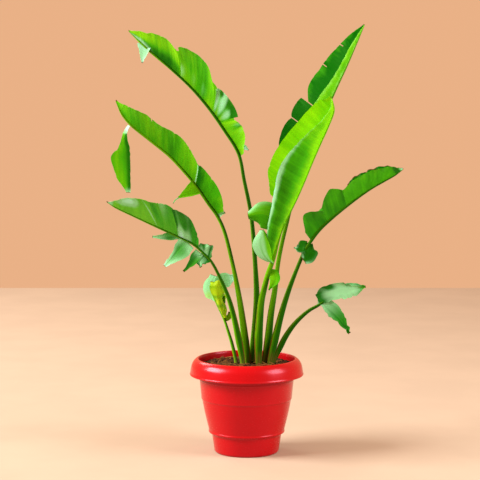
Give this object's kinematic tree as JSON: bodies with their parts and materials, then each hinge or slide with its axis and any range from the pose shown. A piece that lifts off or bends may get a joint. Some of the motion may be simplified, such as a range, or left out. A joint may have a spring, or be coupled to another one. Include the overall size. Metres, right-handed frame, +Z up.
{
  "type": "potted travelers palm",
  "caption": "Young travelers palm in a round plastic pot with a rolled rim, its long-stalked, torn paddle leaves spread in a flat fan.",
  "frame": {"origin": "middle of the pot's flat bottom, where the pot stands on the floor", "axes": "+Z up along the pot's axis; X along the fan of leaves, with the tallest leaf towards +X; -Y is the side that the picture shows"},
  "size_m": [0.5143, 0.2, 0.7492],
  "materials": {
    "pot_plastic": "satin",
    "potting_soil": "matte",
    "leaf_green": "satin",
    "leaf_bright": "satin",
    "leaf_sea_green": "satin"
  },
  "bodies": {
    "root": {"pot": "pot_plastic", "soil": "potting_soil", "leaf_tall_left": "leaf_green", "leaf_middle_left": "leaf_green", "leaf_low_left": "leaf_sea_green", "leaf_young_left": "leaf_bright", "leaf_centre": "leaf_bright", "leaf_tall_right": "leaf_green", "leaf_middle_right": "leaf_green", "leaf_low_right": "leaf_sea_green"}
  },
  "joints": []
}
